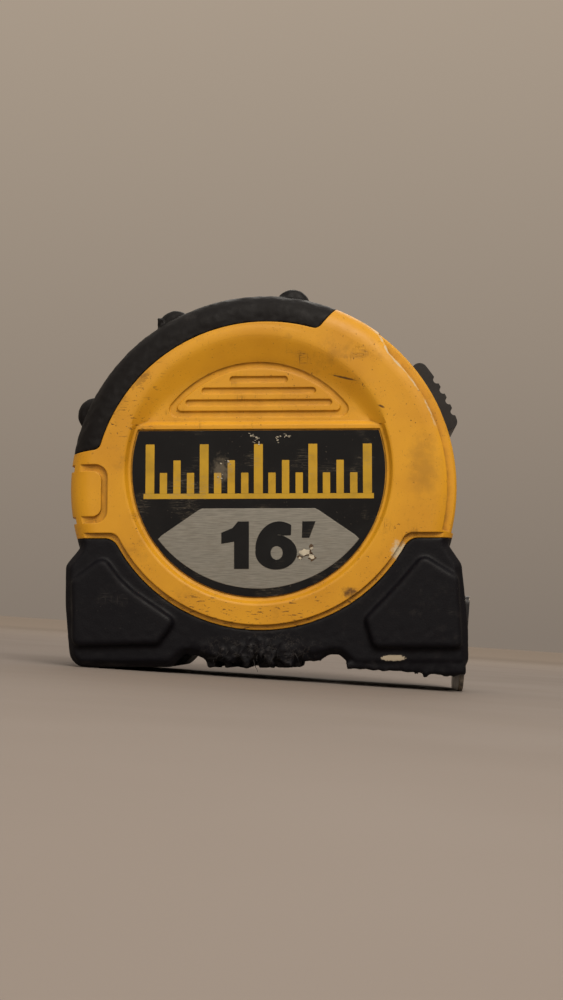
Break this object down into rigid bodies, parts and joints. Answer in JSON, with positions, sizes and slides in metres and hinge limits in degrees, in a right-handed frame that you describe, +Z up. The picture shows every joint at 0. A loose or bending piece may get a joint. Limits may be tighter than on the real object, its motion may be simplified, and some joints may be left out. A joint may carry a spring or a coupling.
{
  "type": "tape measure",
  "caption": "Pocket tape measure: round two-shell case with rubber boots and top grip, thumb lock, sprung reel, steel blade with sliding end hook, belt clip.",
  "frame": {"origin": "on the base plane, under the middle of the reel, in the case's middle plane", "axes": "+X out of the blade's mouth, +Y towards the belt clip, +Z up from the base"},
  "size_m": [0.0776, 0.0486, 0.0782],
  "materials": {
    "case_plastic": "worn yellow ABS, semi-gloss",
    "rubber": "black overmoulded rubber, scuffed",
    "grip_rubber": "black overmoulded rubber, scuffed",
    "label": "printed film",
    "label_plain": "printed film",
    "screw_steel": "blackened steel",
    "clip_steel": "plated spring steel",
    "clip_screw_steel": "plated steel",
    "arbor_steel": "plain",
    "spring_steel": "blued spring steel",
    "reel_plastic": "natural plastic",
    "blade_coil_steel": "yellow lacquer",
    "blade_steel": "yellow lacquer with printed scale",
    "rivet_steel": "plain",
    "hook_steel": "plated steel, tarnished",
    "wear_plastic": "hard plastic",
    "bumper_rubber": "soft rubber",
    "lock_plastic": "black moulded plastic",
    "lock_arm_plastic": "black moulded plastic",
    "pad_rubber": "soft rubber"
  },
  "bodies": {
    "case": {"case_shell_right": "case_plastic", "case_shell_left": "case_plastic", "boot_right": "rubber", "boot_left": "rubber", "top_grip_right": "grip_rubber", "top_grip_left": "grip_rubber", "label_right": "label", "label_left": "label_plain", "case_screws": "screw_steel", "belt_clip": "clip_steel", "clip_screw": "clip_screw_steel", "spring_arbor": "arbor_steel", "mainspring": "spring_steel", "mouth_cradle": "wear_plastic", "hook_bumpers": "bumper_rubber"},
    "reel": {"drum": "reel_plastic", "drum_cover": "reel_plastic", "blade_coil": "blade_coil_steel"},
    "blade": {"blade_run": "blade_steel", "blade_tip": "blade_steel", "hook_rivets": "rivet_steel"},
    "hook": {"end_hook": "hook_steel"},
    "thumb_lock": {"lock_button": "lock_plastic", "lock_arm": "lock_arm_plastic", "lock_pad": "pad_rubber"}
  },
  "joints": [
    {"name": "blade_pull", "type": "slide", "parent": "case", "child": "blade", "axis": [1, 0, 0], "range_m": [0, 4.877], "stiffness_N_per_m": 1.64, "springref_m": -4.88, "deforming": ["blade_run"]},
    {"name": "reel_spin", "type": "hinge", "parent": "case", "child": "reel", "pos_m": [0, 0, 0.0344], "axis": [0, -1, 0], "range_deg": [0, 11737.1]},
    {"name": "hook_slip", "type": "slide", "parent": "blade", "child": "hook", "axis": [1, 0, 0], "range_m": [0, 0.0009]},
    {"name": "lock_slide", "type": "hinge", "parent": "case", "child": "thumb_lock", "pos_m": [0, 0, 0.0344], "axis": [0, 1, 0], "range_deg": [0, 18]}
  ],
  "couplings": [
    {"joint": "reel_spin", "follows": "blade_pull", "rad_per_m": 42}
  ]
}
